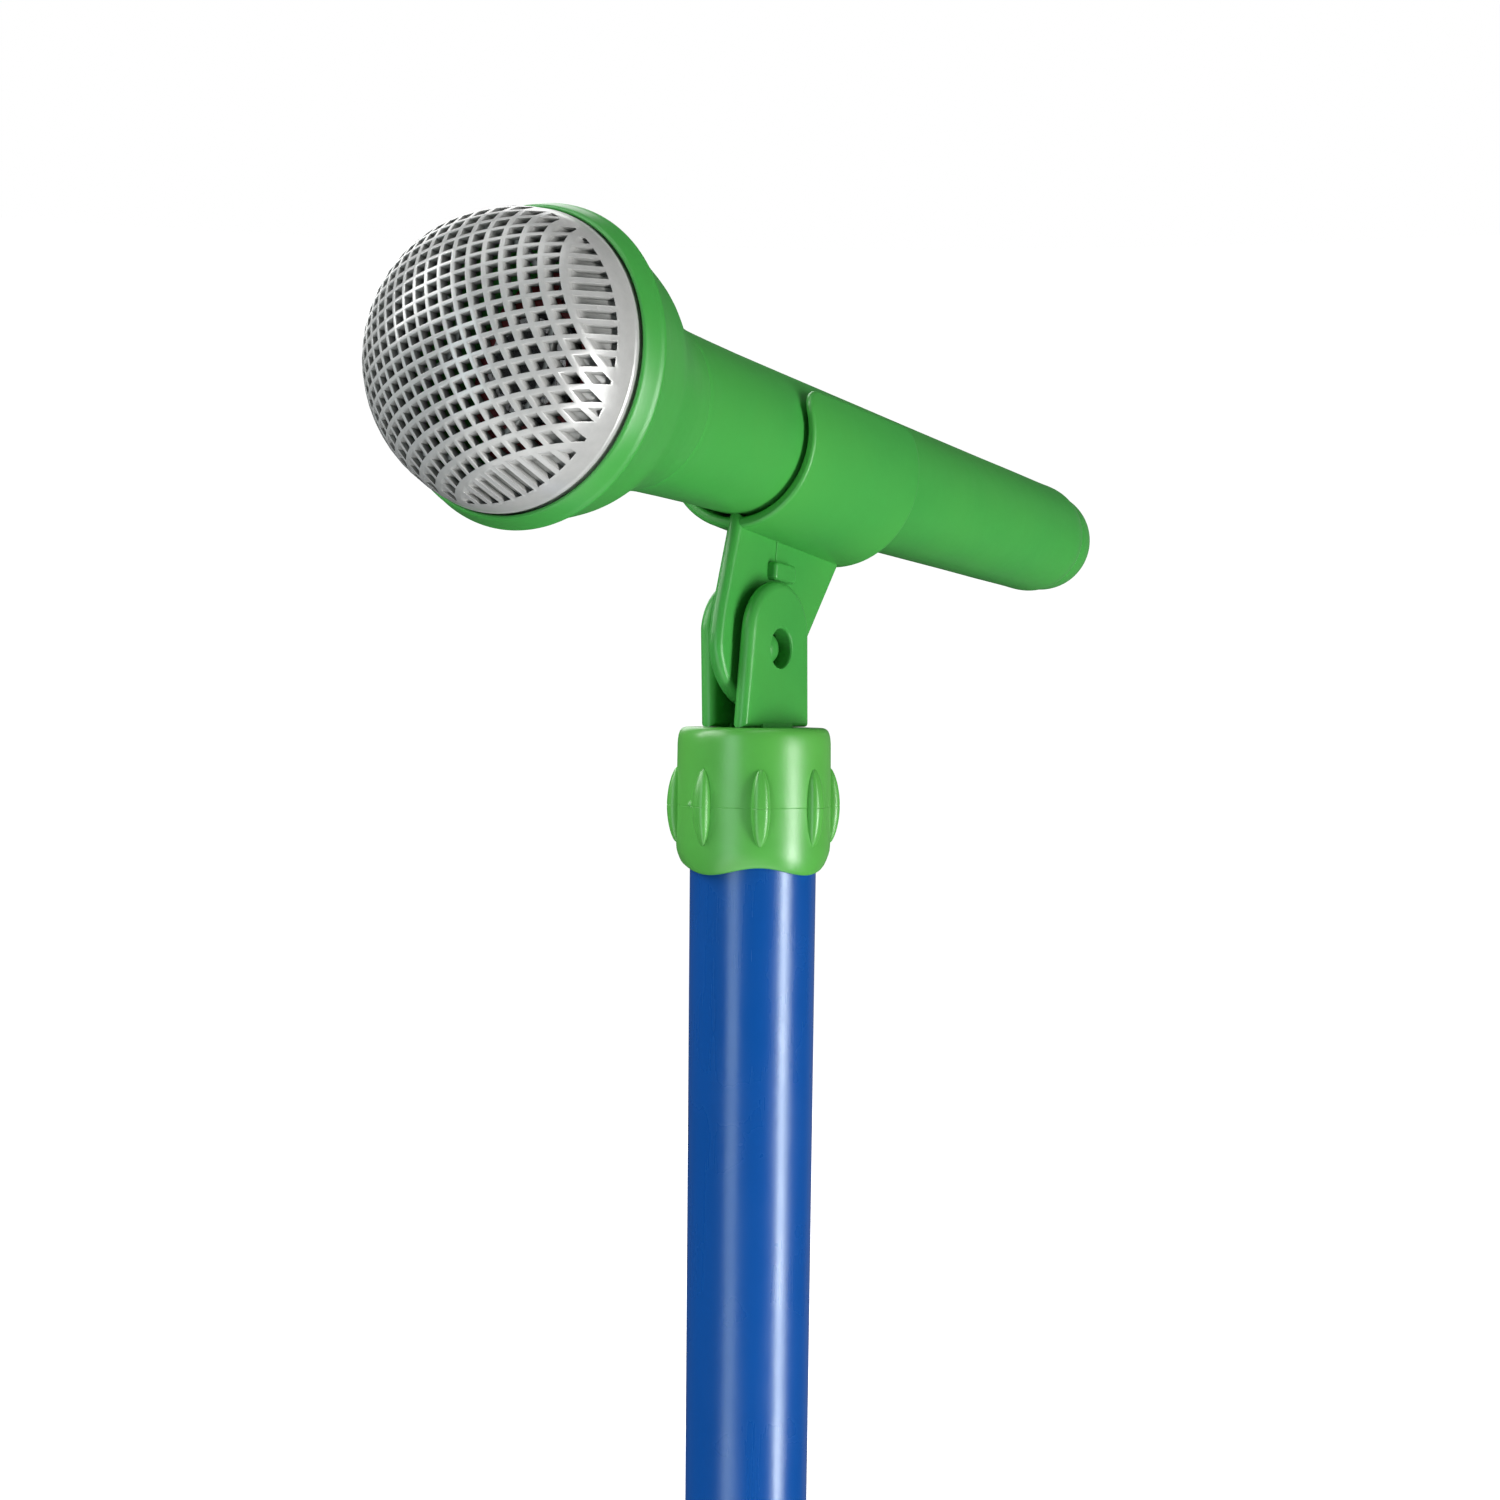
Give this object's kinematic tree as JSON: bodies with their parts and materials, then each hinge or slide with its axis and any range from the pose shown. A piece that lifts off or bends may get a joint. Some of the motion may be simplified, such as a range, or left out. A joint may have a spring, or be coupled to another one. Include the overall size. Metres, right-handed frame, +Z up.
{
  "type": "toy microphone",
  "caption": "Toy microphone with a lattice dome head, held in a tilting open clip on a fork, with a ribbed twist collar on the upper tube of its stand.",
  "frame": {"origin": "centre of the lower end of the stand tube's spigot", "axes": "+Z up along the stand tube, -Y towards the microphone's head, X along the tilt pivot"},
  "size_m": [0.051, 0.2226, 0.3316],
  "materials": {
    "green_plastic": "satin moulded plastic",
    "silver_plastic": "silver-painted moulded plastic",
    "blue_plastic": "glossy moulded plastic",
    "black_plastic": "matt moulded plastic",
    "red_plastic": "matt moulded plastic",
    "natural_plastic": "unpigmented bearing plastic",
    "circuit_board": "solder-masked laminate",
    "capsule_metal": "drawn can",
    "felt": "felt",
    "rubber": "soft rubber",
    "steel": "zinc plated",
    "nickel": "nickel plated",
    "red_wire": "vinyl insulation",
    "black_wire": "vinyl insulation"
  },
  "bodies": {
    "stand": {"upper_tube": "blue_plastic", "collet": "natural_plastic", "end_plug": "black_plastic"},
    "collar": {"lock_collar": "green_plastic"},
    "guide": {"stem_guide": "natural_plastic"},
    "fork": {"fork": "green_plastic", "stem_washer": "steel", "stem_screw": "steel"},
    "clip": {"mic_clip": "green_plastic", "pivot_pin": "green_plastic"},
    "microphone": {"grille_dome": "silver_plastic", "head_cup": "green_plastic", "handle": "green_plastic", "tail_cap": "green_plastic", "capsule_holder": "red_plastic", "holder_screw_1": "steel", "holder_screw_2": "steel", "holder_screw_3": "steel", "capsule_can": "capsule_metal", "capsule_felt": "felt", "capsule_ring": "rubber", "capsule_board": "circuit_board", "wire_red": "red_wire", "wire_black": "black_wire", "jack_socket": "black_plastic", "jack_bushing": "nickel", "jack_nut": "nickel"}
  },
  "joints": [
    {"name": "collar_twist", "type": "hinge", "parent": "stand", "child": "collar", "pos_m": [0, 0, 0.236], "axis": [0, 0, 1], "range_deg": [0, 60]},
    {"name": "fork_height", "type": "slide", "parent": "stand", "child": "guide", "axis": [0, 0, 1], "range_m": [0, 0.04]},
    {"name": "fork_swivel", "type": "hinge", "parent": "guide", "child": "fork", "pos_m": [0, 0, 0.172], "axis": [0, 0, 1], "continuous": true},
    {"name": "mic_tilt", "type": "hinge", "parent": "fork", "child": "clip", "pos_m": [0, 0, 0.264], "axis": [-1, 0, 0], "range_deg": [-75, 58]},
    {"name": "mic_slide", "type": "slide", "parent": "clip", "child": "microphone", "axis": [0, -0.9965, 0.0837], "range_m": [-0.018, 0.085]}
  ]
}
